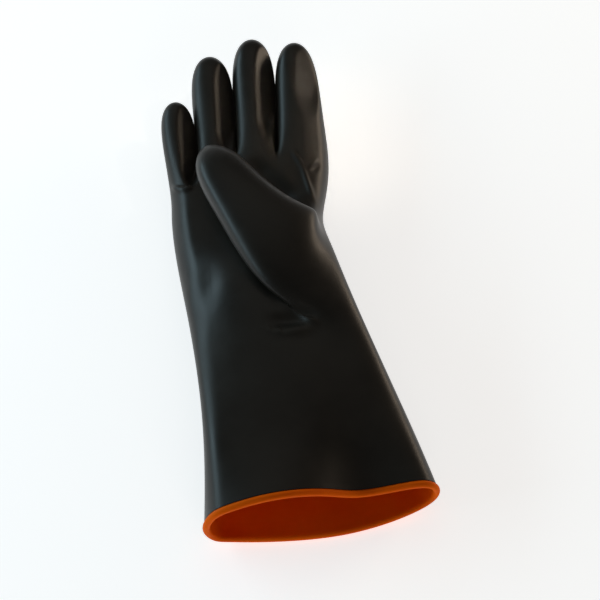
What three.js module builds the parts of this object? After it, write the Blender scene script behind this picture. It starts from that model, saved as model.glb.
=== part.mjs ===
// A heavy rubber gauntlet glove, lying palm up with its thumb folded over the palm.
// Two dipped layers and a rolled rim: a black outer shell, an orange lining and an orange bead at the mouth.
// Millimetres. +Y runs from the mouth to the fingertips, +X to the thumb's side, +Z up out of the palm.
// The origin is on the surface that the glove lies on, under the middle of its box.
import * as THREE from "three";

// Driving sizes
const shellWall = 1.2; // black outer layer
const liningWall = 1.0; // orange inner layer
const layerGap = 0.3; // clearance between neighbouring pieces
const rimRadius = 2.2; // rolled bead at the mouth
const rimSides = 8;
const smoothing = 1; // subdivision passes on the control cage

// Sections of the gauntlet and palm, from the mouth to the knuckles. left and right are the outline, cut is
// where the thumb or the index finger starts, and the tops are heights there. crown lifts the top between the
// left and the cut, and tuck moves the middle of the top along Y.
const sections = [
  { y: -164, left: -70.4, right: 70, cut: 22, topLeft: 41, topCut: 29, topRight: 36, crown: 15, tuck: 2 },
  { y: -134, left: -65.4, right: 65, cut: 22, topLeft: 42, topCut: 40, topRight: 37, crown: 6, tuck: 1 },
  { y: -94, left: -61.2, right: 55.8, cut: 18, topLeft: 42, topCut: 48, topRight: 43, crown: 4, tuck: 0 },
  { y: -54, left: -60.2, right: 46.6, cut: 8, topLeft: 40, topCut: 50, topRight: 50, crown: 4, tuck: 0 },
  { y: -24, left: -60.2, right: 41, cut: -6, topLeft: 36, topCut: 49, topRight: 52, crown: 6, tuck: 0 },
  { y: 3, left: -60.8, right: 37.5, cut: -2, topLeft: 34, topCut: 42, topRight: 50, crown: 6, tuck: 0 },
  { y: 28, left: -61, right: 35.4, cut: 10, topLeft: 33, topCut: 34, topRight: 40, crown: 3, tuck: 0 },
  { y: 53, left: -59.8, right: 44, cut: 14, topLeft: 32, topCut: 34, topRight: 34, crown: 2, tuck: 0 },
];

// The undersides of the same sections: heights at the middle and both edges, and how far the middle moves
// along Y
const undersides = [
  { middle: 1.4, left: 4, right: 6, bow: -9 },
  { middle: 0, left: 0, right: 3, bow: -3 },
  { middle: 0, left: 0, right: 0, bow: 0 },
  { middle: 0, left: 0, right: 0, bow: 0 },
  { middle: 0, left: 1, right: 2, bow: 0 },
  { middle: 0, left: 2, right: 3, bow: 0 },
  { middle: 0, left: 3, right: 4, bow: 0 },
  { middle: 0, left: 4, right: 4, bow: 0 },
];

// The flanks of the same sections: how far the corner columns stand in from the outline, and where up the
// flank the glove is widest, as a share of its height
const flanks = [
  { leftShoulder: 5, rightShoulder: 5, leftWidest: 0.5, rightWidest: 0.5 },
  { leftShoulder: 5, rightShoulder: 5, leftWidest: 0.72, rightWidest: 0.62 },
  { leftShoulder: 5.5, rightShoulder: 5, leftWidest: 0.82, rightWidest: 0.75 },
  { leftShoulder: 7, rightShoulder: 4.5, leftWidest: 0.8, rightWidest: 0.82 },
  { leftShoulder: 8, rightShoulder: 4, leftWidest: 0.7, rightWidest: 0.84 },
  { leftShoulder: 8, rightShoulder: 4, leftWidest: 0.62, rightWidest: 0.82 },
  { leftShoulder: 8, rightShoulder: 5, leftWidest: 0.55, rightWidest: 0.7 },
  { leftShoulder: 8, rightShoulder: 7, leftWidest: 0.5, rightWidest: 0.55 },
];
const undercut = 7; // how far the underside's edge stands in where the glove is widest at its very top
const thumbRows = [3, 6]; // the sections between which the thumb is rooted

// Where neighbouring fingers part, and the outer edges of the first and last finger
const knuckles = [
  { x: -52.5, y: 66, top: 29, floor: 6 },
  { x: -37.4, y: 76, top: 32, floor: 5 },
  { x: -10.6, y: 83, top: 34, floor: 4 },
  { x: 13.8, y: 74, top: 35, floor: 4 },
  { x: 46.5, y: 78, top: 32, floor: 6 },
];
const knuckleOverhang = 7; // how far the outline stands out past the outer knuckles

// Fingers: root and tip of the centre line, how far it bows to the right on the way, half the width of the
// stall low and high on the finger, and half its height
const fingers = {
  little: { root: [-47.8, 70, 18], tip: [-45, 136.5, 32], bow: 0.3, low: 10.2, high: 10.8, deep: 9.6 },
  ring: { root: [-25, 80, 20], tip: [-16.8, 167.2, 36], bow: 1.5, low: 12.6, high: 13.3, deep: 11 },
  middle: { root: [2.6, 84, 21.5], tip: [13.8, 175.2, 38], bow: 0.8, low: 13.3, high: 13.3, deep: 11.4 },
  index: { root: [33, 82, 22], tip: [41.6, 166.5, 39], bow: 0.6, low: 14.8, high: 12.8, deep: 11.4 },
};
const lowRing = 0.38; // where the stall's first ring sits, as a share of the finger's length
const highRing = 0.62; // how far its last ring sits behind the tip, in half widths
const tipFullness = 1.1; // how much larger the last ring of the cage is than the stall
const capReach = 0.78; // how far the centre of the cap's cage sits past the tip, in half widths
const curl = 0.55; // how much of a finger's rise comes in its last half

// Thumb: its rings from the root to the tip. heading is the angle left of +Y and pitch the angle above level.
const thumb = [
  { x: 13, y: -9, z: 55, wide: 35, thick: 9.2, heading: 54, pitch: 42 },
  { x: -3, y: 12.5, z: 56, wide: 25.5, thick: 11.8, heading: 39, pitch: 10 },
  { x: -15.5, y: 39.5, z: 55, wide: 19.3, thick: 11.8, heading: 27, pitch: -3 },
  { x: -26.6, y: 68.5, z: 52, wide: 16.2, thick: 12, heading: 20, pitch: -8 },
];
const thumbEnd = { x: -33.4, y: 91.6, z: 49.5 };

const topColumns = 9;
const ringSize = 2 * topColumns + 2;
const spacing = [0, 0.1, 0.27, 0.46, 0.65, 0.825, 1]; // top columns from the left shoulder to the cut
const foldLean = 0.9; // how far the ways out lean into the folds beside the thumb's root
const mostLean = 0.5; // the squareness below which a way out grows no longer
const bowSkew = 1.2; // puts the deepest point of the mouth's lip right of the middle
const octagonGrowth = 1.11; // a subdivided octagon shrinks by this much
const decagonGrowth = 1.07;

const mix = (a, b, t) => a + (b - a) * t;
const radians = THREE.MathUtils.degToRad;

// The control cage: quads wound so that they face out, and points that each carry a place and the way out of
// the wall there
const cage = { points: [], quads: [] };
const addPoint = (place, way) => cage.points.push([...place, ...way]) - 1;

function joinRings(lower, upper, skip = () => false) {
  lower.forEach((a, i) => {
    const j = (i + 1) % lower.length;
    if (!skip(i)) cage.quads.push([a, lower[j], upper[j], upper[i]]);
  });
}

// Ring order: top columns from left to right, right side, bottom columns from right to left, left side.
// tops and floors are places from left to right, and forward leans their ways out towards the fingers.
function addBodyRing(tops, floors, left, right, forward) {
  const last = tops.length - 1;
  const lean = (i) => (i === 0 ? -0.5 : i === last ? 0.5 : 0);
  const upper = tops.map((p, i) => addPoint(p, [lean(i), forward(i), 0.85]));
  const rightSide = addPoint(right, [1, 0, 0]);
  const lower = floors.map((p, i) => addPoint(p, [lean(i), forward(i), -0.85]));
  const leftSide = addPoint(left, [-1, 0, 0]);
  return [...upper, rightSide, ...lower.reverse(), leftSide];
}

function bodyRing(s, under, flank) {
  const tops = [];
  const floors = [];
  for (let i = 0; i < topColumns; i++) {
    const beforeCut = i < spacing.length;
    const t = beforeCut ? spacing[i] : (i - spacing.length + 1) / (topColumns - spacing.length);
    const from = s.left + flank.leftShoulder;
    const to = s.right - flank.rightShoulder;
    const x = beforeCut ? mix(from, s.cut, t) : mix(s.cut, to, t);
    const line = beforeCut ? mix(s.topLeft, s.topCut, t) : mix(s.topCut, s.topRight, t);
    const top = line + (beforeCut ? s.crown * 4 * t * (1 - t) : 0);
    const across = (x - s.left) / (s.right - s.left);
    const middle = Math.sin(Math.PI * across ** bowSkew);
    const flat = Math.min(1, 5 * Math.min(across, 1 - across));
    const floor = mix(across < 0.5 ? under.left : under.right, under.middle, flat);
    tops.push([x, s.y + s.tuck * middle, top]);
    floors.push([x, s.y + under.bow * middle, floor]);
  }
  const side = (edge, i, widest, inward) => {
    const [top, floor] = [tops[i], floors[i]];
    const place = [edge + (edge - (top[0] + floor[0]) / 2) / 2, s.y, mix(floor[2], top[2], widest)];
    floor[0] += inward * undercut * (2 * widest - 1);
    return place;
  };
  const left = side(s.left, 0, flank.leftWidest, 1);
  const right = side(s.right, topColumns - 1, flank.rightWidest, -1);
  return addBodyRing(tops, floors, left, right, () => 0);
}

// The last ring of the body, whose columns meet the fingers' own
function knuckleRing() {
  const tops = [];
  const floors = [];
  knuckles.forEach((k, i) => {
    tops.push([k.x, k.y, k.top]);
    floors.push([k.x, k.y, k.floor]);
    const next = knuckles[i + 1];
    if (!next) return;
    const x = (k.x + next.x) / 2;
    const y = (k.y + next.y) / 2;
    tops.push([x, y - 3, (k.top + next.top) / 2 + 2.5]);
    floors.push([x, y - 3, (k.floor + next.floor) / 2 - 2.5]);
  });
  const first = knuckles[0];
  const last = knuckles[knuckles.length - 1];
  const right = [last.x + knuckleOverhang, last.y, (last.top + last.floor) / 2];
  const left = [first.x - knuckleOverhang, first.y, (first.top + first.floor) / 2];
  const isCrotch = (i) => i % 2 === 0 && i > 0 && i < topColumns - 1;
  return addBodyRing(tops, floors, left, right, (i) => (isCrotch(i) ? 0.5 : 0));
}

// A ring of points round a centre, at offsets in shares of half the width along one direction and half the
// height along another
function addSection(centre, across, up, wide, high, offsets) {
  return offsets.map(([w, h]) => {
    const place = centre.clone().addScaledVector(across, w * wide).addScaledVector(up, h * high);
    const way = across.clone().multiplyScalar(w * high).addScaledVector(up, h * wide);
    return addPoint(place.toArray(), way.normalize().toArray());
  });
}

// Eight points of a finger's section, in the order of the body's ring
const octagon = [135, 90, 45, 0, -45, -90, -135, 180]
  .map(radians)
  .map((angle) => [Math.cos(angle), Math.sin(angle)]);

function addFinger(root, finger) {
  const from = new THREE.Vector3(...finger.root);
  const to = new THREE.Vector3(...finger.tip);
  const rise = to.z - from.z;
  const length = to.y - from.y;
  const centre = (t) => {
    const p = new THREE.Vector3().lerpVectors(from, to, t);
    p.x += finger.bow * 4 * t * (1 - t);
    p.z = from.z + rise * mix(t, t * t, curl);
    return p;
  };
  const rings = [
    { along: lowRing, halfWidth: finger.low, growth: octagonGrowth },
    {
      along: 1 - (highRing * finger.high) / length,
      halfWidth: finger.high,
      growth: octagonGrowth * tipFullness,
    },
  ];
  let ring = root;
  let axis;
  for (const { along, halfWidth, growth } of rings) {
    axis = centre(along + 0.05).sub(centre(along - 0.05)).normalize();
    const across = new THREE.Vector3().crossVectors(axis, new THREE.Vector3(0, 0, 1)).normalize();
    const up = new THREE.Vector3().crossVectors(across, axis);
    const next = addSection(centre(along), across, up, halfWidth * growth, finger.deep * growth, octagon);
    joinRings(ring, next);
    ring = next;
  }
  const middle = addPoint(centre(1 + (capReach * finger.high) / length).toArray(), axis.toArray());
  for (let i = 0; i < ring.length; i += 2) {
    cage.quads.push([ring[i], ring[i + 1], middle, ring[(i + 7) % 8]]);
  }
}

// Ten points of the thumb's section
const decagon = [
  [-0.82, -0.64], [-1, 0], [-0.86, 0.8], [-0.32, 1], [0.32, 1],
  [0.82, 0.64], [1, 0], [0.82, -0.64], [0.32, -1], [-0.32, -1],
];

function addThumb(root) {
  let ring = root;
  let along;
  let ahead;
  for (const r of thumb) {
    const [turn, pitch] = [radians(r.heading), radians(r.pitch)];
    const level = new THREE.Vector3(-Math.sin(turn), Math.cos(turn), 0);
    along = new THREE.Vector3(Math.cos(turn), Math.sin(turn), 0);
    ahead = level.clone().multiplyScalar(Math.cos(pitch)).setZ(Math.sin(pitch));
    const out = level.clone().multiplyScalar(-Math.sin(pitch)).setZ(Math.cos(pitch));
    const centre = new THREE.Vector3(r.x, r.y, r.z);
    const next = addSection(centre, along, out, r.wide * decagonGrowth, r.thick * decagonGrowth, decagon);
    joinRings(ring, next);
    ring = next;
  }
  const reach = thumb[thumb.length - 1].wide * 0.3;
  const end = new THREE.Vector3(thumbEnd.x, thumbEnd.y, thumbEnd.z);
  const [near, far] = [-reach, reach].map((d) =>
    addPoint(end.clone().addScaledVector(along, d).toArray(), ahead.toArray()),
  );
  cage.quads.push(
    [ring[0], ring[1], near, ring[9]],
    [ring[1], ring[2], ring[3], near],
    [ring[9], near, far, ring[8]],
    [near, ring[3], ring[4], far],
    [ring[8], far, ring[6], ring[7]],
    [far, ring[4], ring[5], ring[6]],
  );
}

function buildCage() {
  const rings = sections.map((s, i) => bodyRing(s, undersides[i], flanks[i]));
  rings.push(knuckleRing());
  const [firstRow, lastRow] = thumbRows;
  const cutColumn = spacing.length - 1;
  const lastColumn = topColumns - 1;
  for (let r = 0; r + 1 < rings.length; r++) {
    const underThumb = r >= firstRow && r < lastRow;
    joinRings(rings[r], rings[r + 1], (i) => underThumb && i >= cutColumn && i < lastColumn);
  }
  const thumbRoot = [];
  for (let i = cutColumn; i <= lastColumn; i++) thumbRoot.push(rings[firstRow][i]);
  for (let r = firstRow + 1; r <= lastRow; r++) thumbRoot.push(rings[r][lastColumn]);
  for (let i = lastColumn - 1; i >= cutColumn; i--) thumbRoot.push(rings[lastRow][i]);
  for (let r = lastRow - 1; r > firstRow; r--) thumbRoot.push(rings[r][cutColumn]);
  for (let r = firstRow; r <= lastRow; r++) cage.points[rings[r][cutColumn]][3] = -foldLean;
  for (let i = cutColumn; i < lastColumn; i++) cage.points[rings[lastRow][i]][4] = foldLean;
  addThumb(thumbRoot);

  const ring = rings[rings.length - 1];
  const bottom = (i) => ring[ringSize - 2 - i];
  const sides = knuckles.map((k, i) => {
    if (i === 0) return ring[ringSize - 1];
    if (i === knuckles.length - 1) return ring[topColumns];
    return addPoint([k.x, k.y + 2, (k.top + k.floor) / 2], [0, 1, 0]);
  });
  Object.values(fingers).forEach((finger, k) => {
    const i = 2 * k;
    const over = [ring[i], ring[i + 1], ring[i + 2]];
    const under = [bottom(i + 2), bottom(i + 1), bottom(i)];
    addFinger([...over, sides[k + 1], ...under, sides[k]], finger);
  });
}

// Leaves out the points that no quad uses, such as those under the thumb's root
function trim({ points, quads }) {
  const used = [...new Set(quads.flat())].sort((a, b) => a - b);
  const place = new Map(used.map((old, now) => [old, now]));
  return { points: used.map((i) => points[i]), quads: quads.map((q) => q.map((i) => place.get(i))) };
}

function average(list) {
  return list[0].map((_, k) => list.reduce((sum, p) => sum + p[k], 0) / list.length);
}

// Catmull-Clark subdivision of a quad mesh with an open edge
function subdivide({ points, quads }) {
  const key = (a, b) => (a < b ? a + "_" + b : b + "_" + a);
  const centres = quads.map((q) => average(q.map((i) => points[i])));
  const edges = new Map();
  quads.forEach((q, f) =>
    q.forEach((a, i) => {
      const b = q[(i + 1) % 4];
      const k = key(a, b);
      if (!edges.has(k)) edges.set(k, { a, b, faces: [] });
      edges.get(k).faces.push(f);
    }),
  );
  const made = [];
  const around = points.map(() => ({ faces: [], middles: [], rim: [] }));
  quads.forEach((q, f) => q.forEach((i) => around[i].faces.push(centres[f])));
  for (const e of edges.values()) {
    const middle = average([points[e.a], points[e.b]]);
    const inside = e.faces.length === 2;
    for (const i of [e.a, e.b]) {
      around[i].middles.push(middle);
      if (!inside) around[i].rim.push(middle);
    }
    e.point = inside ? average([points[e.a], points[e.b], centres[e.faces[0]], centres[e.faces[1]]]) : middle;
  }
  points.forEach((p, i) => {
    const { faces, middles, rim } = around[i];
    if (rim.length) {
      made.push(average([p, average(rim)]));
      return;
    }
    const n = faces.length;
    const [f, m] = [average(faces), average(middles)];
    made.push(p.map((v, k) => (f[k] + 2 * m[k] + (n - 3) * v) / n));
  });
  for (const e of edges.values()) e.index = made.push(e.point) - 1;
  const middleOf = centres.map((c) => made.push(c) - 1);
  const cut = quads.flatMap((q, f) =>
    q.map((a, i) => {
      const next = edges.get(key(a, q[(i + 1) % 4])).index;
      const before = edges.get(key(q[(i + 3) % 4], a)).index;
      return [a, next, middleOf[f], before];
    }),
  );
  return { points: made, quads: cut };
}

// Moves each point of a subdivided mesh onto the smooth surface that further passes would reach
function settle({ points, quads }) {
  const near = points.map(() => ({ next: [], across: [], uses: new Map() }));
  quads.forEach((q) =>
    q.forEach((a, i) => {
      const [b, c, d] = [q[(i + 1) % 4], q[(i + 2) % 4], q[(i + 3) % 4]];
      near[a].next.push(b, d);
      near[a].across.push(c);
      for (const k of [b, d]) near[a].uses.set(k, (near[a].uses.get(k) || 0) + 1);
    }),
  );
  const placed = points.map((p, i) => {
    const { next, across, uses } = near[i];
    const open = [...uses].filter(([, count]) => count === 1).map(([k]) => points[k]);
    if (open.length) return average([p, p, p, p, ...open]);
    const n = across.length;
    const [e, f] = [average(next.map((k) => points[k])), average(across.map((k) => points[k]))];
    return p.map((v, k) => (n * v + 4 * e[k] + f[k]) / (n + 5));
  });
  return { points: placed, quads };
}

// The outer surface: its points, the way out of the wall at each, its triangles and the loop at the mouth.
// A way out is longer than one where it leans to a wall beside it, which keeps that wall as thick.
const skin = {};

function buildSkin() {
  buildCage();
  let mesh = trim(cage);
  for (let i = 0; i < smoothing; i++) mesh = subdivide(mesh);
  const { points, quads } = settle(mesh);
  skin.points = points.map((p) => new THREE.Vector3(...p.slice(0, 3)));
  skin.outwards = points.map((p) => new THREE.Vector3(...p.slice(3)).normalize());
  const squarest = points.map(() => 1);
  const follows = new Map();
  const shared = new Set(quads.flatMap((q) => q.map((a, i) => a + "_" + q[(i + 1) % 4])));
  skin.triangles = quads.flatMap((quad) => {
    const [p, q, r, s] = quad.map((i) => skin.points[i]);
    const n = r.clone().sub(p).cross(s.clone().sub(q)).normalize();
    quad.forEach((i, k) => {
      const next = quad[(k + 1) % 4];
      squarest[i] = Math.min(squarest[i], n.dot(skin.outwards[i]));
      if (!shared.has(next + "_" + i)) follows.set(i, next);
    });
    const [a, b, c, d] = quad;
    return p.distanceTo(r) <= q.distanceTo(s) ? [[a, b, c], [a, c, d]] : [[b, c, d], [b, d, a]];
  });
  skin.outwards.forEach((way, i) => way.divideScalar(Math.max(squarest[i], mostLean)));
  const start = follows.keys().next().value;
  skin.mouth = [start];
  for (let i = follows.get(start); i !== start; i = follows.get(i)) skin.mouth.push(i);
}

// The closed wall between two depths under the outer surface, as triangles
function wallGeometry(outer, inner) {
  const n = skin.points.length;
  const layer = (depth) => skin.points.map((p, i) => p.clone().addScaledVector(skin.outwards[i], -depth));
  const vertices = [...layer(outer), ...layer(inner)];
  const triangles = [];
  for (const [a, b, c] of skin.triangles) triangles.push(a, b, c, n + a, n + c, n + b);
  skin.mouth.forEach((a, i) => {
    const b = skin.mouth[(i + 1) % skin.mouth.length];
    triangles.push(b, a, n + a, b, n + a, n + b);
  });
  return solidGeometry(vertices, triangles);
}

// The rolled bead: a round section swept round the mouth, just clear of the walls' ends
function rimGeometry() {
  const middle = (shellWall + layerGap + liningWall) / 2;
  const loop = skin.mouth.map((i) => skin.points[i].clone().addScaledVector(skin.outwards[i], -middle));
  const count = loop.length;
  const vertices = [];
  loop.forEach((p, i) => {
    const ahead = loop[(i + 1) % count].clone().sub(loop[(i + count - 1) % count]).normalize();
    const out = skin.outwards[skin.mouth[i]].clone();
    out.addScaledVector(ahead, -out.dot(ahead)).normalize();
    const away = new THREE.Vector3().crossVectors(ahead, out);
    if (away.y > 0) away.negate();
    const c = p.clone().addScaledVector(away, rimRadius + layerGap);
    for (let k = 0; k < rimSides; k++) {
      const angle = (2 * Math.PI * (k + 0.5)) / rimSides;
      vertices.push(
        c
          .clone()
          .addScaledVector(out, rimRadius * Math.cos(angle))
          .addScaledVector(away, rimRadius * Math.sin(angle)),
      );
    }
  });
  const triangles = [];
  for (let i = 0; i < count; i++) {
    for (let k = 0; k < rimSides; k++) {
      const [a, b] = [i * rimSides + k, i * rimSides + ((k + 1) % rimSides)];
      const [c, d] = [a, b].map((v) => (v + rimSides) % (count * rimSides));
      triangles.push(a, b, d, a, d, c);
    }
  }
  return solidGeometry(vertices, triangles);
}

function solidGeometry(vertices, triangles) {
  const geometry = new THREE.BufferGeometry();
  geometry.setFromPoints(vertices);
  if (signedVolume(vertices, triangles) < 0) triangles.reverse();
  geometry.setIndex(triangles);
  geometry.computeVertexNormals();
  return geometry;
}

function signedVolume(vertices, triangles) {
  let sum = 0;
  for (let i = 0; i < triangles.length; i += 3) {
    const [a, b, c] = [0, 1, 2].map((k) => vertices[triangles[i + k]]);
    sum += a.dot(b.clone().cross(c)) / 6;
  }
  return sum;
}

function piece(name, geometry, look) {
  const mesh = new THREE.Mesh(geometry, new THREE.MeshStandardMaterial(look));
  mesh.name = name;
  return mesh;
}

buildSkin();
const blackRubber = { color: 0x1c1a18, roughness: 0.42, metalness: 0 };
const orangeRubber = { color: 0xd9530f, roughness: 0.55, metalness: 0 };
const liningDepth = shellWall + layerGap;
const glove = new THREE.Group();
glove.add(
  piece("outer_shell", wallGeometry(0, shellWall), blackRubber),
  piece("inner_lining", wallGeometry(liningDepth, liningDepth + liningWall), orangeRubber),
  piece("rolled_rim", rimGeometry(), orangeRubber),
);

export default glove;
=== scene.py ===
import math

import bpy
import numpy as np
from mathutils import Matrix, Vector


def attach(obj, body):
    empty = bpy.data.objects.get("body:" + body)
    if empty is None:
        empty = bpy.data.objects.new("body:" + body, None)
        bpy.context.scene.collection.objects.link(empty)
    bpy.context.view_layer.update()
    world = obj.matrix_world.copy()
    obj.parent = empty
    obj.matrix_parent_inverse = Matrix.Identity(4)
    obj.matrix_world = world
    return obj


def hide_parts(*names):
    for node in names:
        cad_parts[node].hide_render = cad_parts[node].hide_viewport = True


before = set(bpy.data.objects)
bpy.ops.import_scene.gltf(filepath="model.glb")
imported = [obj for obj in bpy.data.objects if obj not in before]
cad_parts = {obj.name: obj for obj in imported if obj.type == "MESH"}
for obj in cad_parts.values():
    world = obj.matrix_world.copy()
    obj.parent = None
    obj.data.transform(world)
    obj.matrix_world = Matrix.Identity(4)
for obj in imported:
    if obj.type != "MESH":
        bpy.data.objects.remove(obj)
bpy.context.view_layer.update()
mm = 0.001
print("frame loaded:", ", ".join(sorted(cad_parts)))

# the glove's form in millimetres: +Y to the fingertips, +X to the thumb's side, +Z out of the palm
gloveForm = {
    # y, left, right, left and right shoulder, cut, top at the left, at the cut and at the right, crown, tuck
    "sections": [
        (-164, -70.4, 70, 5, 5, 22, 41, 29, 36, 15, 2),
        (-134, -65.4, 65, 5, 5, 22, 42, 40, 37, 6, 1),
        (-94, -61.2, 55.8, 5.5, 5, 18, 42, 48, 43, 4, 0),
        (-54, -60.2, 46.6, 7, 4.5, 8, 40, 50, 50, 4, 0),
        (-24, -60.2, 41, 8, 4, -6, 36, 49, 52, 6, 0),
        (3, -60.8, 37.5, 8, 4, -2, 34, 42, 50, 6, 0),
        (28, -61, 35.4, 8, 5, 10, 33, 34, 40, 3, 0),
        (53, -59.8, 44, 8, 7, 14, 32, 34, 34, 2, 0),
    ],
    # height of the underside at the middle, the left and the right, how far its middle bows along Y,
    # and where up the left and the right flank the glove is widest
    "undersides": [
        (1.4, 4, 6, -9, 0.5, 0.5),
        (0, 0, 3, -3, 0.72, 0.62),
        (0, 0, 0, 0, 0.82, 0.75),
        (0, 0, 0, 0, 0.8, 0.82),
        (0, 1, 2, 0, 0.7, 0.84),
        (0, 2, 3, 0, 0.62, 0.82),
        (0, 3, 4, 0, 0.55, 0.7),
        (0, 4, 4, 0, 0.5, 0.55),
    ],
    "undercut": 7,  # how far the underside's edge stands in where the glove is widest at its very top
    "bowSkew": 1.2,
    "floorSteepness": 5,  # how fast the underside levels out from either edge
    "spacing": [0, 0.1, 0.27, 0.46, 0.65, 0.825, 1],  # shares of the way from left shoulder to cut
    "thumbRows": (3, 6),  # the sections between which the thumb grows out
    # x, y, top, floor where neighbouring fingers part
    "knuckles": [
        (-52.5, 66, 29, 6),
        (-37.4, 76, 32, 5),
        (-10.6, 83, 34, 4),
        (13.8, 74, 35, 4),
        (46.5, 78, 32, 6),
    ],
    "knuckleOverhang": 7,
    "webSetBack": 3,
    "webSwell": 2.5,
    "forkAhead": 2,
    # root, tip, bow, half width low and high, half height
    "fingers": {
        "little": ((-47.3, 70, 18), (-44.8, 136.5, 32), 0.3, 11.1, 11.2, 9.6),
        "ring": ((-25, 80, 20), (-16.8, 167.2, 36), 1.5, 13.9, 13.7, 11),
        "middle": ((2.6, 84, 21.5), (13.8, 175.2, 38), 0.8, 14.6, 13.7, 11.4),
        "index": ((32.6, 82, 22), (41.6, 166.5, 39), 0.6, 15.7, 13.0, 11.4),
    },
    "lowRing": 0.38,
    "highRing": 0.62,
    "widening": 0.4,  # over this share of its length a finger goes from its low to its high width
    "tipFullness": 1.1,
    "capReach": 0.78,
    "curl": 0.55,
    # x, y, z, half width, half thickness, heading left of +Y and pitch above level
    "thumb": [
        (13, -9, 55, 35, 9.2, 54, 42),
        (-3, 12.5, 56, 25.5, 11.8, 39, 10),
        (-15.5, 39.5, 55, 19.3, 11.8, 27, -3),
        (-26.6, 68.5, 52, 16.2, 12, 20, -8),
    ],
    "thumbEnd": (-33.4, 91.6, 49.5),
    "thumbEndShare": 0.3,  # how much of the last row's half width the end takes
    "foldLean": 0.9,
}
topColumns = len(gloveForm["spacing"]) + 2
octagonGrowth = 1.11  # a subdivided octagon shrinks by this much
decagonGrowth = 1.07
cornerLean, faceRise, webLean = 0.5, 0.85, 0.5  # parts of the way out at the corners, faces and webs
cagePoints = []  # each holds a place and the way out of the wall there
cageQuads = []


def mix(a, b, t):
    return a + (b - a) * t


def addPoint(place, way):
    cagePoints.append(np.array([*place, *way], float))
    return len(cagePoints) - 1


def joinRings(lower, upper, skip=()):
    for i, a in enumerate(lower):
        j = (i + 1) % len(lower)
        if i not in skip:
            cageQuads.append((a, lower[j], upper[j], upper[i]))


def addBodyRing(tops, floors, left, right, forward):
    last = len(tops) - 1
    lean = [-cornerLean if i == 0 else cornerLean if i == last else 0 for i in range(last + 1)]
    upper = [addPoint(p, (lean[i], forward[i], faceRise)) for i, p in enumerate(tops)]
    rightSide = addPoint(right, (1, 0, 0))
    lower = [addPoint(p, (lean[i], forward[i], -faceRise)) for i, p in enumerate(floors)]
    leftSide = addPoint(left, (-1, 0, 0))
    return [*upper, rightSide, *reversed(lower), leftSide]


def bodyRing(section, underside):
    y, left, right, leftShoulder, rightShoulder, cut, topLeft, topCut, topRight, crown, tuck = section
    floorMiddle, floorLeft, floorRight, bow, widestLeft, widestRight = underside
    spacing = gloveForm["spacing"]
    tops, floors = [], []
    for i in range(topColumns):
        if i < len(spacing):
            t = spacing[i]
            x = mix(left + leftShoulder, cut, t)
            top = mix(topLeft, topCut, t) + crown * 4 * t * (1 - t)
        else:
            t = (i - len(spacing) + 1) / (topColumns - len(spacing))
            x = mix(cut, right - rightShoulder, t)
            top = mix(topCut, topRight, t)
        across = (x - left) / (right - left)
        middle = math.sin(math.pi * across ** gloveForm["bowSkew"])
        flat = min(1, gloveForm["floorSteepness"] * min(across, 1 - across))
        floor = mix(floorLeft if across < 0.5 else floorRight, floorMiddle, flat)
        tops.append((x, y + tuck * middle, top))
        floors.append((x, y + bow * middle, floor))
    sides = []
    for edge, i, share, inward in ((left, 0, widestLeft, 1), (right, -1, widestRight, -1)):
        inner = (tops[i][0] + floors[i][0]) / 2
        sides.append((edge + (edge - inner) / 2, y, mix(floors[i][2], tops[i][2], share)))
        floorX, floorY, floorZ = floors[i]
        floors[i] = (floorX + inward * gloveForm["undercut"] * (2 * share - 1), floorY, floorZ)
    return addBodyRing(tops, floors, *sides, [0] * topColumns)


def knuckleRing():
    knuckles, overhang = gloveForm["knuckles"], gloveForm["knuckleOverhang"]
    tops, floors = [], []
    for i, (x, y, top, floor) in enumerate(knuckles):
        tops.append((x, y, top))
        floors.append((x, y, floor))
        if i + 1 < len(knuckles):
            nextX, nextY, nextTop, nextFloor = knuckles[i + 1]
            middleX, middleY = (x + nextX) / 2, (y + nextY) / 2 - gloveForm["webSetBack"]
            tops.append((middleX, middleY, (top + nextTop) / 2 + gloveForm["webSwell"]))
            floors.append((middleX, middleY, (floor + nextFloor) / 2 - gloveForm["webSwell"]))
    first, last = knuckles[0], knuckles[-1]
    left = (first[0] - overhang, first[1], (first[2] + first[3]) / 2)
    right = (last[0] + overhang, last[1], (last[2] + last[3]) / 2)
    forward = [webLean if i % 2 == 0 and 0 < i < topColumns - 1 else 0 for i in range(topColumns)]
    return addBodyRing(tops, floors, left, right, forward)


def unit(v):
    return v / np.linalg.norm(v)


def addSection(centre, across, up, wide, high, offsets):
    ring = []
    for w, h in offsets:
        place = centre + across * w * wide + up * h * high
        ring.append(addPoint(place, unit(across * w * high + up * h * wide)))
    return ring


def addFinger(root, finger):
    start, end, bow, low, high, deep = finger
    start, end = np.array(start, float), np.array(end, float)
    length, rise = end[1] - start[1], end[2] - start[2]
    turns = [math.radians(a) for a in (135, 90, 45, 0, -45, -90, -135, 180)]
    octagon = [(math.cos(a), math.sin(a)) for a in turns]

    def centre(t):
        p = mix(start, end, t)
        p[0] += bow * 4 * t * (1 - t)
        p[2] = start[2] + rise * mix(t, t * t, gloveForm["curl"])
        return p

    axisStep = 0.05
    full = octagonGrowth * gloveForm["tipFullness"]
    highest = 1 - gloveForm["highRing"] * high / length
    rings = [(gloveForm["lowRing"], low, octagonGrowth), (highest, high, full)]
    ring = root
    for along, halfWidth, growth in rings:
        axis = unit(centre(along + axisStep) - centre(along - axisStep))
        across = unit(np.cross(axis, (0, 0, 1)))
        up = np.cross(across, axis)
        following = addSection(centre(along), across, up, halfWidth * growth, deep * growth, octagon)
        joinRings(ring, following)
        ring = following
    middle = addPoint(centre(1 + gloveForm["capReach"] * high / length), axis)
    for i in range(0, 8, 2):
        cageQuads.append((ring[i], ring[i + 1], middle, ring[(i + 7) % 8]))


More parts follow.
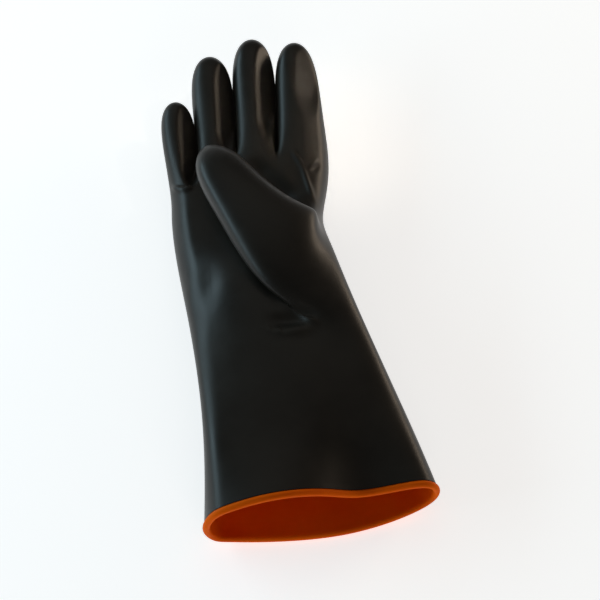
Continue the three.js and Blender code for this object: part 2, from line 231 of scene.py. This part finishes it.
def addThumb(root):
    decagon = [(-0.82, -0.64), (-1, 0), (-0.86, 0.8), (-0.32, 1), (0.32, 1)]
    decagon += [(0.82, 0.64), (1, 0), (0.82, -0.64), (0.32, -1), (-0.32, -1)]
    ring = root
    for x, y, z, wide, thick, heading, pitch in gloveForm["thumb"]:
        turn, tilt = math.radians(heading), math.radians(pitch)
        level = np.array([-math.sin(turn), math.cos(turn), 0])
        across = np.array([math.cos(turn), math.sin(turn), 0])
        ahead = level * math.cos(tilt) + np.array([0, 0, math.sin(tilt)])
        out = level * -math.sin(tilt) + np.array([0, 0, math.cos(tilt)])
        wide, thick = wide * decagonGrowth, thick * decagonGrowth
        following = addSection(np.array([x, y, z], float), across, out, wide, thick, decagon)
        joinRings(ring, following)
        ring = following
    reach = gloveForm["thumb"][-1][3] * gloveForm["thumbEndShare"]
    near, far = [addPoint(np.array(gloveForm["thumbEnd"]) + across * d, ahead) for d in (-reach, reach)]
    cageQuads.extend([
        (ring[0], ring[1], near, ring[9]),
        (ring[1], ring[2], ring[3], near),
        (ring[9], near, far, ring[8]),
        (near, ring[3], ring[4], far),
        (ring[8], far, ring[6], ring[7]),
        (far, ring[4], ring[5], ring[6]),
    ])


def buildCage():
    rings = [bodyRing(s, u) for s, u in zip(gloveForm["sections"], gloveForm["undersides"])]
    rings.append(knuckleRing())
    firstRow, lastRow = gloveForm["thumbRows"]
    cut, last = len(gloveForm["spacing"]) - 1, topColumns - 1
    for r in range(len(rings) - 1):
        joinRings(rings[r], rings[r + 1], range(cut, last) if firstRow <= r < lastRow else ())
    thumbRoot = [rings[firstRow][i] for i in range(cut, last + 1)]
    thumbRoot += [rings[r][last] for r in range(firstRow + 1, lastRow + 1)]
    thumbRoot += [rings[lastRow][i] for i in range(last - 1, cut - 1, -1)]
    thumbRoot += [rings[r][cut] for r in range(lastRow - 1, firstRow, -1)]
    for r in range(firstRow, lastRow + 1):
        cagePoints[rings[r][cut]][3] = -gloveForm["foldLean"]
    for i in range(cut, last):
        cagePoints[rings[lastRow][i]][4] = gloveForm["foldLean"]
    addThumb(thumbRoot)

    ring, knuckles = rings[-1], gloveForm["knuckles"]
    sides = [ring[-1]]
    for x, y, top, floor in knuckles[1:-1]:
        sides.append(addPoint((x, y + gloveForm["forkAhead"], (top + floor) / 2), (0, 1, 0)))
    sides.append(ring[topColumns])
    for k, finger in enumerate(gloveForm["fingers"].values()):
        over = ring[2 * k : 2 * k + 3]
        under = [ring[len(ring) - 2 - i] for i in (2 * k + 2, 2 * k + 1, 2 * k)]
        addFinger([*over, sides[k + 1], *under, sides[k]], finger)


def trimmed(points, quads):
    used = sorted({i for q in quads for i in q})
    place = {old: new for new, old in enumerate(used)}
    return np.array([points[i] for i in used]), [tuple(place[i] for i in q) for q in quads]


# one Catmull-Clark pass that carries the ways out along with the places
def subdivided(points, quads):
    centres = [points[list(q)].mean(0) for q in quads]
    edges = {}
    for f, q in enumerate(quads):
        for i in range(4):
            edges.setdefault(frozenset((q[i], q[(i + 1) % 4])), []).append(f)
    faceSum, faceCount = np.zeros_like(points), np.zeros(len(points))
    for f, q in enumerate(quads):
        for i in q:
            faceSum[i] += centres[f]
            faceCount[i] += 1
    middles = {i: [] for i in range(len(points))}
    rims = {i: [] for i in range(len(points))}
    edgePoints = {}
    for edge, faces in edges.items():
        a, b = sorted(edge)
        middle = (points[a] + points[b]) / 2
        for i in (a, b):
            middles[i].append(middle)
            if len(faces) == 1:
                rims[i].append(middle)
        if len(faces) == 1:
            edgePoints[edge] = middle
        else:
            edgePoints[edge] = (points[a] + points[b] + centres[faces[0]] + centres[faces[1]]) / 4
    made = []
    for i, p in enumerate(points):
        if rims[i]:
            made.append((p + np.mean(rims[i], axis=0)) / 2)
        else:
            n = faceCount[i]
            made.append((faceSum[i] / n + 2 * np.mean(middles[i], axis=0) + (n - 3) * p) / n)
    edgeIndex = {}
    for edge, p in edgePoints.items():
        edgeIndex[edge] = len(made)
        made.append(p)
    cut = []
    for f, q in enumerate(quads):
        made.append(centres[f])
        for i in range(4):
            following = edgeIndex[frozenset((q[i], q[(i + 1) % 4]))]
            before = edgeIndex[frozenset((q[i - 1], q[i]))]
            cut.append((q[i], following, len(made) - 1, before))
    return np.array(made), cut


buildCage()
formPoints, formQuads = subdivided(*trimmed(cagePoints, cageQuads))
formPlaces = formPoints[:, :3]
formWays = formPoints[:, 3:] / np.linalg.norm(formPoints[:, 3:], axis=1, keepdims=True)


# the loop of points round the mouth, in order
def mouthLoop(quads):
    sides = {(q[i], q[(i + 1) % 4]) for q in quads for i in range(4)}
    follows = {b: a for a, b in sides if (b, a) not in sides}
    loop = [min(follows)]
    while follows[loop[-1]] != loop[0]:
        loop.append(follows[loop[-1]])
    return loop


def smoothSurface(name, places, quads, levels):
    mesh = bpy.data.meshes.new(name)
    mesh.from_pydata([tuple(p * mm) for p in places], [], quads)
    obj = bpy.data.objects.new(name, mesh)
    bpy.context.scene.collection.objects.link(obj)
    rounding = obj.modifiers.new("rounding", "SUBSURF")
    rounding.levels = rounding.render_levels = levels
    depsgraph = bpy.context.evaluated_depsgraph_get()
    obj.data = bpy.data.meshes.new_from_object(obj.evaluated_get(depsgraph))
    obj.modifiers.clear()
    obj.data.name = name
    bpy.data.meshes.remove(mesh)
    return obj


def placesOf(mesh, what="vertices"):
    source = mesh.vertices if what == "vertices" else mesh.vertex_normals
    flat = np.zeros(len(source) * 3, np.float32)
    source.foreach_get("co" if what == "vertices" else "vector", flat)
    return flat.reshape(-1, 3).astype(float)


# the ridge in half widths, how steeply the right face falls from it, where the face starts and ends,
# and how far above the finger's middle, in half heights, it still presses
fingerFaces = {
    "little": {"ridge": 0.0, "fall": 0.94, "sharpness": 16, "from": -0.09, "to": 0.86, "reach": 1.7},
    "ring": {"ridge": 0.12, "fall": 1.06, "sharpness": 30, "from": 0.05, "to": 0.86, "reach": 1.3},
    "middle": {"ridge": 0.12, "fall": 1.06, "sharpness": 30, "from": 0.08, "to": 0.86, "reach": 1.3},
    "index": {"ridge": 0.0, "fall": 0.66, "sharpness": 8, "from": 0.25, "to": 0.90, "reach": 1.3},
}


def smoothStep(low, high, x):
    t = np.clip((x - low) / (high - low), 0, 1)
    return t * t * (3 - 2 * t)


def softMin(a, b, sharpness):
    return -np.logaddexp(-sharpness * a, -sharpness * b) / sharpness


# share of the way along a finger's axis, and places across and above it in half widths and half heights
def alongFinger(places, finger):
    start, end, bow, low, high, deep = finger
    start, end = np.array(start, float), np.array(end, float)
    t = (places[:, 1] - start[1]) / (end[1] - start[1])
    centre = start + np.outer(t, end - start)
    centre[:, 0] += bow * 4 * t * (1 - t)
    centre[:, 2] = start[2] + (end[2] - start[2]) * mix(t, t * t, gloveForm["curl"])
    axis = unit(end - start)
    across = unit(np.cross(axis, (0, 0, 1)))
    up = np.cross(across, axis)
    halfWidth = mix(low, high, np.clip((t - gloveForm["lowRing"]) / gloveForm["widening"], 0, 1))
    u = ((places - centre) @ across) / halfWidth
    v = ((places - centre) @ up) / deep
    return t, u, v, up, centre, halfWidth


# across in half widths, up in half heights, along in shares of a finger's length
facePress = {
    "width": 1.0,
    "farthest": 1.1,
    "leftOfRidge": 0.6,
    "rise": 0.3,
    "fadeIn": 0.24,
    "fadeOut": 0.13,
    "endRounding": 0.5,
    "endMiddle": 0.4,
    "web": (0.6, 0.92),
    "webLength": (0.1, 0.26),
    "reachFade": 0.2,
}


# presses a flat face into the right of a finger's palm side, which leaves a ridge along its middle
def faceFinger(places, finger, face):
    t, u, v, up, centre, halfWidth = alongFinger(places, finger)
    start, end, reach = face["from"], face["to"], face["reach"]
    own = (np.abs(u) < facePress["width"]) & (v > 0) & (v < reach) & (t > start)
    own &= t < facePress["farthest"]
    rounded = t - facePress["endRounding"] * (u - facePress["endMiddle"]) ** 2
    weight = own * smoothStep(0, facePress["rise"], v)
    weight *= smoothStep(start, start + facePress["fadeIn"], rounded)
    weight *= 1 - smoothStep(end, end + facePress["fadeOut"], t)
    weight *= 1 - smoothStep(*facePress["web"], u) * (1 - smoothStep(*facePress["webLength"], t))
    weight *= 1 - smoothStep(reach - facePress["reachFade"], reach, v)
    plane = 1 - face["fall"] * (u - face["ridge"])
    rightOf = u > face["ridge"] - facePress["leftOfRidge"]
    pressed = softMin(v, np.where(rightOf, plane, np.inf), face["sharpness"])
    return places + np.outer((pressed - v) * finger[5] * weight, up)


# flattens neighbouring fingers against each other where they would meet
def partFingers(places, left, right, gap):
    moved = places.copy()
    t, u, v, _, leftCentre, leftHalf = alongFinger(places, left)
    rightT, rightU, rightV, _, rightCentre, rightHalf = alongFinger(places, right)
    between = (leftCentre[:, 0] + leftHalf + rightCentre[:, 0] - rightHalf) / 2
    x = places[:, 0]
    leftReach, rightReach = wall["partHeights"]
    fingers = (t > wall["partFrom"]) & (rightT > wall["partFrom"])
    fingers &= (np.abs(v) < leftReach) & (np.abs(rightV) < rightReach)
    onLeft = fingers & (x > leftCentre[:, 0]) & (np.abs(u) < np.abs(rightU)) & (x > between - gap)
    onRight = fingers & (x < rightCentre[:, 0]) & (np.abs(rightU) <= np.abs(u)) & (x < between + gap)
    moved[onLeft, 0] = between[onLeft] - gap
    moved[onRight, 0] = between[onRight] + gap
    return moved


routePasses = 3  # times a route's corners are cut


# distance from a route on the surface, share of the way along it, and the side, positive to its left
def alongRoute(places, normals, route):
    route = np.array(route, float)
    for step in range(routePasses):
        near, far = mix(route[:-1], route[1:], 0.25), mix(route[:-1], route[1:], 0.75)
        corners = np.stack([near, far], axis=1).reshape(-1, 3)
        route = np.vstack([route[:1], corners, route[-1:]])
    lengths = np.linalg.norm(np.diff(route, axis=0), axis=1)
    reached = np.concatenate([[0], np.cumsum(lengths)])
    best = np.full(len(places), np.inf)
    share, side = np.zeros(len(places)), np.zeros(len(places))
    for k, (a, b) in enumerate(zip(route, route[1:])):
        t = np.clip((places - a) @ (b - a) / lengths[k] ** 2, 0, 1)
        gap = places - (a + np.outer(t, b - a))
        distance = np.linalg.norm(gap, axis=1)
        closer = distance < best
        turn = np.einsum("ij,ij->i", np.cross(b - a, gap), normals)
        best = np.where(closer, distance, best)
        share = np.where(closer, (reached[k] + t * lengths[k]) / reached[-1], share)
        side = np.where(closer, np.sign(turn), side)
    return best, share, side


# folds and dents: the route, then ribs of (offset to the left, half width, height)
folds = {
    "smile": {
        "route": [
            (-56.1, 77, 23.3),
            (-52.8, 70.5, 27.9),
            (-49.1, 67, 30.7),
            (-45.9, 66.4, 31.9),
            (-42.2, 68.2, 32.5),
            (-39.5, 73, 32),
        ],
        "ribs": [(-0.4, 1.9, 1.7)],
        "fade": 0.35,
    },
    "thumbValley": {
        "route": [(-5, 82, 35), (1, 72, 35.5), (8, 60, 35), (16, 49, 36), (25, 39, 37)],
        "ribs": [(0, 7, -4.5)],
        "fade": 0.3,
    },
    "indexCrest": {
        "route": [(28, 78, 35), (30.5, 66, 34.3), (31.5, 56, 34.2), (32.5, 46, 34.3), (33, 36, 35)],
        "ribs": [(0, 1.6, 1.4), (-6, 4.5, -0.9)],
        "fade": 0.4,
    },
    "leftArm": {
        "route": [(24.5, 84, 35), (28, 76, 35), (31.5, 67, 34.3)],
        "ribs": [(0, 1.6, 1.3), (3.2, 2, -0.5), (-3.2, 2, -0.6)],
        "fade": 0.45,
    },
    "rightArm": {
        "route": [(42.5, 75, 31), (36.2, 69.5, 33.4), (32, 65, 34.2)],
        "ribs": [(0, 1.6, 1.3), (3.4, 2, -0.8)],
        "fade": 0.45,
    },
    "thumbCrease": {
        "route": [(-7, -27, 43), (-1, -35, 44.6), (5, -42.5, 46.6), (10, -48.5, 48)],
        "ribs": [(0, 1.5, -1.6), (-3.6, 2.6, 0.9)],
        "fade": 0.45,
    },
    "creaseHook": {
        "route": [(4, -42.5, 46.6), (8, -47.5, 48), (11.5, -52, 49), (15.5, -54.5, 49.8), (20, -55.5, 50)],
        "ribs": [(-0.6, 2.0, 2.0), (3.6, 2.8, -1.0)],
        "fade": 0.35,
    },
    "creaseBulge": {
        "route": [(-19, -51, 45.5), (-10, -57, 47), (2, -59.5, 48.5), (13, -58.5, 50), (19, -56, 50)],
        "ribs": [(0, 3.2, 2.1), (6.5, 4.5, -1.8)],
        "fade": 0.45,
    },
    "palmDent": {
        "route": [(-40, 10, 37), (-41.5, -12, 38), (-43, -34, 39)],
        "ribs": [(0, 7, -0.9), (-15, 7, 0.6)],
        "fade": 0.5,
    },
    "cuffDimple": {"route": [(-20, -142, 50), (-19, -138, 50)], "ribs": [(0, 2.6, 0.25)], "fade": 0.5},
}
foldFacing = (-0.1, 0.3)  # folds fade out where the surface turns down


def pressFolds(places, normals):
    moved = np.zeros(len(places))
    for fold in folds.values():
        distance, share, side = alongRoute(places, normals, fold["route"])
        ends = smoothStep(0, fold["fade"], share) * (1 - smoothStep(1 - fold["fade"], 1, share))
        facingUp = smoothStep(*foldFacing, normals[:, 2])
        for offset, width, height in fold["ribs"]:
            across = distance * side - offset
            beyond = np.where((share <= 0) | (share >= 1), distance, 0)
            hill = np.exp(-((across / width) ** 2) - (beyond / width) ** 2)
            moved += height * hill * ends * facingUp
    return places + normals * moved[:, None]


def setPlaces(mesh, places):
    mesh.vertices.foreach_set("co", (places * mm).astype(np.float32).ravel())
    mesh.update()


# returns how far each point of the wall has moved, so that the lining can follow it
def detailShell(obj):
    mesh = obj.data
    before = placesOf(mesh) / mm
    places = before
    fingers = gloveForm["fingers"]
    for name, face in fingerFaces.items():
        places = faceFinger(places, fingers[name], face)
    for left, right in (("little", "ring"), ("ring", "middle"), ("middle", "index")):
        places = partFingers(places, fingers[left], fingers[right], wall["fingerGap"])
    setPlaces(mesh, places)
    places = pressFolds(places, placesOf(mesh, "normals"))
    setPlaces(mesh, places)
    return places - before


wall = {
    "roundingLevels": 3,
    "liningDepth": 2.2,
    "fingerGap": 0.04,
    "partFrom": 0.12,  # share of a finger's length from where it is kept off the next one
    "partHeights": (1.3, 1.5),
}
shellPiece = smoothSurface("outerShell", formPlaces, formQuads, wall["roundingLevels"])
detail = detailShell(shellPiece)
print("outer shell:", len(shellPiece.data.polygons), "faces")

liningForm = formPlaces - formWays * wall["liningDepth"]
liningPiece = smoothSurface("innerLining", liningForm, formQuads, wall["roundingLevels"])
setPlaces(liningPiece.data, placesOf(liningPiece.data) / mm + detail)
liningPiece.data.flip_normals()
print("inner lining:", len(liningPiece.data.polygons), "faces")

rim = {
    "bead": 2.2,
    "beadStart": 2.3,
    "beadArc": (-55, 200, 15.0),  # degrees: start, end and step
    "wallMiddle": 1.25,
    "loopPasses": 3,
    # out and away, from the bead along the lining and back inside the wall
    "tailShape": [
        (-1.95, 0.9),
        (-1.62, -0.6),
        (-1.36, -2.2),
        (-1.17, -4),
        (-1.03, -6),
        (-0.93, -8),
        (-0.8, -9),
        (0, -5.5),
        (0.2, 0.2),
    ],
}


def smoothLoop(values, passes):
    for step in range(passes):
        before, after = np.roll(values, 1, axis=0), np.roll(values, -1, axis=0)
        corners = (before + 6 * values + after) / 8
        middles = (values + after) / 2
        values = np.empty((2 * len(corners), values.shape[1]))
        values[0::2], values[1::2] = corners, middles
    return (np.roll(values, 1, axis=0) + 4 * values + np.roll(values, -1, axis=0)) / 6


def buildRim():
    loop = mouthLoop(formQuads)
    onLoop = set(loop)
    inward = {}
    for q in formQuads:
        for i in range(4):
            for j in (i - 1, (i + 1) % 4):
                if q[i] in onLoop and q[j] not in onLoop:
                    inward[q[i]] = q[j]
    behind = [inward[i] for i in loop]
    loopAway = formPlaces[loop] - formPlaces[behind]
    line = smoothLoop(np.hstack([formPlaces[loop], formWays[loop], loopAway]), rim["loopPasses"])
    places, ways, away = line[:, :3], line[:, 3:6], line[:, 6:]
    ahead = np.roll(places, -1, axis=0) - np.roll(places, 1, axis=0)
    ahead /= np.linalg.norm(ahead, axis=1, keepdims=True)
    away -= ahead * (away * ahead).sum(1, keepdims=True)
    away /= np.linalg.norm(away, axis=1, keepdims=True)
    out = np.cross(ahead, away)
    out *= np.sign((out * ways).sum(1, keepdims=True))
    middle = places - out * rim["wallMiddle"]
    radius = rim["bead"]
    turns = np.radians(np.arange(*rim["beadArc"]))
    profile = [(radius * math.cos(a), rim["beadStart"] + radius * math.sin(a)) for a in turns]
    profile += rim["tailShape"]
    count, size = len(places), len(profile)
    outs, aways = np.array(profile).T
    sections = [middle[i] + np.outer(outs, out[i]) + np.outer(aways, away[i]) for i in range(count)]
    vertices = np.concatenate(sections)
    faces = []
    for i in range(count):
        for k in range(size):
            a, b = i * size + k, i * size + (k + 1) % size
            c, d = [(v + size) % (count * size) for v in (b, a)]
            faces.append((a, d, c, b))
    mesh = bpy.data.meshes.new("rolledRim")
    mesh.from_pydata([tuple(v * mm) for v in vertices], [], faces)
    obj = bpy.data.objects.new("rolledRim", mesh)
    bpy.context.scene.collection.objects.link(obj)
    return obj


rimPiece = buildRim()
print("rolled rim:", len(rimPiece.data.polygons), "faces")


def link(tree, source, target):
    tree.links.new(source, target)


def makeNode(tree, kind, at, **values):
    node = tree.nodes.new(kind)
    node.location = at
    for key, value in values.items():
        setattr(node, key, value)
    return node


dippedSkin = {
    "flowDetail": 2,
    "flowRoughness": 0.45,
    "pebbleDetail": 3,
    "filmDetail": 7,
    "filmRoughness": 0.6,
    "filmRange": (0.38, 0.66),
}


# the skin of dipped rubber: slow flow of the dip, fine pebble and a worn film
def dippedSkinGroup():
    group = bpy.data.node_groups.new("dippedSkin", "ShaderNodeTree")
    for name, kind, start in (
        ("Flow Size", "NodeSocketFloat", 30.0),
        ("Pebble Size", "NodeSocketFloat", 900.0),
        ("Pebble Share", "NodeSocketFloat", 0.2),
        ("Film Size", "NodeSocketFloat", 18.0),
    ):
        socket = group.interface.new_socket(name, in_out="INPUT", socket_type=kind)
        socket.default_value = start
    group.interface.new_socket("Height", in_out="OUTPUT", socket_type="NodeSocketFloat")
    group.interface.new_socket("Film", in_out="OUTPUT", socket_type="NodeSocketFloat")
    given = makeNode(group, "NodeGroupInput", (-800, 0))
    result = makeNode(group, "NodeGroupOutput", (600, 0))
    where = makeNode(group, "ShaderNodeTexCoord", (-800, -300))
    flow = makeNode(group, "ShaderNodeTexNoise", (-400, 200))
    flow.inputs["Detail"].default_value = dippedSkin["flowDetail"]
    flow.inputs["Roughness"].default_value = dippedSkin["flowRoughness"]
    pebble = makeNode(group, "ShaderNodeTexNoise", (-400, -50))
    pebble.inputs["Detail"].default_value = dippedSkin["pebbleDetail"]
    film = makeNode(group, "ShaderNodeTexNoise", (-400, -300))
    film.inputs["Detail"].default_value = dippedSkin["filmDetail"]
    film.inputs["Roughness"].default_value = dippedSkin["filmRoughness"]
    for node, scale in ((flow, "Flow Size"), (pebble, "Pebble Size"), (film, "Film Size")):
        link(group, where.outputs["Object"], node.inputs["Vector"])
        link(group, given.outputs[scale], node.inputs["Scale"])
    height = makeNode(group, "ShaderNodeMix", (0, 100), data_type="FLOAT")
    link(group, given.outputs["Pebble Share"], height.inputs["Factor"])
    link(group, flow.outputs["Fac"], height.inputs["A"])
    link(group, pebble.outputs["Fac"], height.inputs["B"])
    spread = makeNode(group, "ShaderNodeMapRange", (0, -250))
    low, high = dippedSkin["filmRange"]
    spread.inputs["From Min"].default_value = low
    spread.inputs["From Max"].default_value = high
    link(group, film.outputs["Fac"], spread.inputs["Value"])
    link(group, height.outputs["Result"], result.inputs["Height"])
    link(group, spread.outputs["Result"], result.inputs["Film"])
    return group


skinGroup = dippedSkinGroup()


def rubberMaterial(name, look):
    material = bpy.data.materials.new(name)
    material.use_nodes = True
    tree = material.node_tree
    shader = tree.nodes["Principled BSDF"]
    shader.inputs["Specular IOR Level"].default_value = look["gloss"]
    skin = makeNode(tree, "ShaderNodeGroup", (-700, 0), node_tree=skinGroup)
    for key, value in look["skin"].items():
        skin.inputs[key].default_value = value
    colour = makeNode(tree, "ShaderNodeMix", (-350, 200), data_type="RGBA")
    colour.inputs["A"].default_value = (*look["colour"], 1)
    colour.inputs["B"].default_value = (*look["filmColour"], 1)
    link(tree, skin.outputs["Film"], colour.inputs["Factor"])
    link(tree, colour.outputs["Result"], shader.inputs["Base Color"])
    rough = makeNode(tree, "ShaderNodeMapRange", (-350, -50))
    rough.inputs["To Min"].default_value, rough.inputs["To Max"].default_value = look["roughness"]
    link(tree, skin.outputs["Film"], rough.inputs["Value"])
    link(tree, rough.outputs["Result"], shader.inputs["Roughness"])
    bump = makeNode(tree, "ShaderNodeBump", (-350, -300))
    bump.inputs["Strength"].default_value = look["bumpStrength"]
    bump.inputs["Distance"].default_value = look["bumpDepth"] * mm
    link(tree, skin.outputs["Height"], bump.inputs["Height"])
    link(tree, bump.outputs["Normal"], shader.inputs["Normal"])
    return material


blackRubber = {
    "colour": (0.0115, 0.0096, 0.0074),
    "filmColour": (0.0185, 0.0156, 0.012),
    "roughness": (0.34, 0.46),
    "gloss": 0.27,
    "bumpStrength": 0.6,
    "bumpDepth": 0.5,
    "skin": {"Flow Size": 45.0, "Pebble Size": 900.0, "Pebble Share": 0.06, "Film Size": 16.0},
}
orangeRubber = {
    "colour": (0.8, 0.108, 0.001),
    "filmColour": (0.86, 0.135, 0.0015),
    "roughness": (0.5, 0.6),
    "gloss": 0.03,
    "bumpStrength": 0.5,
    "bumpDepth": 0.4,
    "skin": {"Flow Size": 60.0, "Pebble Size": 1100.0, "Pebble Share": 0.2, "Film Size": 30.0},
}
blackMaterial = rubberMaterial("blackRubber", blackRubber)
orangeMaterial = rubberMaterial("orangeRubber", orangeRubber)
print("materials made")

for obj, material, nodeName, slotName in (
    (shellPiece, blackMaterial, "outer_shell", "black_rubber"),
    (liningPiece, orangeMaterial, "inner_lining", "orange_rubber"),
    (rimPiece, orangeMaterial, "rolled_rim", "orange_rubber"),
):
    obj.data.materials.clear()
    obj.data.materials.append(material)
    obj.data.polygons.foreach_set("use_smooth", [True] * len(obj.data.polygons))
    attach(obj, "root")
    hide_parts(nodeName)

studio = {
    "floorColour": (0.88, 0.88, 0.88),
    "floorGlow": 0.68,
    "floorRoughness": 0.9,
    "floorGloss": 0.1,
    "floorSize": 8.0,
    "worldColour": (1.0, 0.97, 0.92),
    "worldStrength": 0.1,
    # place, aim, watts, width, depth, spread in degrees, colour
    "lights": {
        "leftBox": ((-1.15, 0.5, 0.46), (0, 0.05, 0.02), 11.0, 1.7, 0.4, 180, (0.62, 0.88, 1.0)),
        "rightBox": ((1.2, 0.5, 0.24), (0, 0, 0.02), 4.2, 0.5, 0.25, 180, (1.0, 0.8, 0.6)),
        "rightHigh": ((0.85, 0.22, 0.85), (0.052, 0.11, 0.03), 0.0095, 0.1, 0.1, 5, (1.0, 0.86, 0.7)),
        "backBox": ((0.1, 1.0, 1.6), (0, 0, 0.02), 1.6, 1.5, 1.2, 180, (1.0, 0.94, 0.84)),
        "frontBox": ((0.1, -1.3, 0.5), (0, -0.15, 0.02), 1.4, 0.6, 0.4, 180, (1.0, 0.95, 0.88)),
    },
}


def buildStudio():
    mesh = bpy.data.meshes.new("floor")
    half = studio["floorSize"] / 2
    corners = [(-half, -half, 0), (half, -half, 0), (half, half, 0), (-half, half, 0)]
    mesh.from_pydata(corners, [], [(0, 1, 2, 3)])
    floor = bpy.data.objects.new("floor", mesh)
    bpy.context.scene.collection.objects.link(floor)
    material = bpy.data.materials.new("paleFloor")
    material.use_nodes = True
    shader = material.node_tree.nodes["Principled BSDF"]
    shader.inputs["Base Color"].default_value = (*studio["floorColour"], 1)
    shader.inputs["Roughness"].default_value = studio["floorRoughness"]
    shader.inputs["Specular IOR Level"].default_value = studio["floorGloss"]
    shader.inputs["Emission Color"].default_value = (1, 1, 1, 1)
    shader.inputs["Emission Strength"].default_value = studio["floorGlow"]
    mesh.materials.append(material)
    world = bpy.data.worlds.new("studioWorld")
    world.use_nodes = True
    background = world.node_tree.nodes["Background"]
    background.inputs["Color"].default_value = (*studio["worldColour"], 1)
    background.inputs["Strength"].default_value = studio["worldStrength"]
    bpy.context.scene.world = world
    for name, (place, aim, power, width, depth, spread, colour) in studio["lights"].items():
        light = bpy.data.lights.new(name, "AREA")
        light.shape = "RECTANGLE"
        light.size, light.size_y = width, depth
        light.spread = math.radians(spread)
        light.energy = power
        light.color = colour
        obj = bpy.data.objects.new(name, light)
        obj.location = place
        obj.rotation_euler = (Vector(aim) - Vector(place)).to_track_quat("-Z", "Y").to_euler()
        bpy.context.scene.collection.objects.link(obj)


buildStudio()

photoCamera = {
    "azimuth": -10.2,
    "elevation": 60.0,
    "distance": 1.1,
    "target": (0.0145, -0.011, 0.0),
    "lens": 101.64,
    "sensor": 36,
    "nearest": 0.01,
}


def buildCamera():
    turn, rise = math.radians(photoCamera["azimuth"]), math.radians(photoCamera["elevation"])
    back = Vector((math.sin(turn) * math.cos(rise), -math.cos(turn) * math.cos(rise), math.sin(rise)))
    data = bpy.data.cameras.new("photoCamera")
    data.sensor_width = photoCamera["sensor"]
    data.lens = photoCamera["lens"]
    data.clip_start = photoCamera["nearest"]
    camera = bpy.data.objects.new("photoCamera", data)
    camera.location = Vector(photoCamera["target"]) + back * photoCamera["distance"]
    camera.rotation_euler = back.to_track_quat("Z", "Y").to_euler()
    bpy.context.scene.collection.objects.link(camera)
    bpy.context.scene.camera = camera


buildCamera()
bpy.context.scene.view_settings.view_transform = "Standard"
bpy.context.scene.view_settings.look = "None"
print("studio and camera placed")
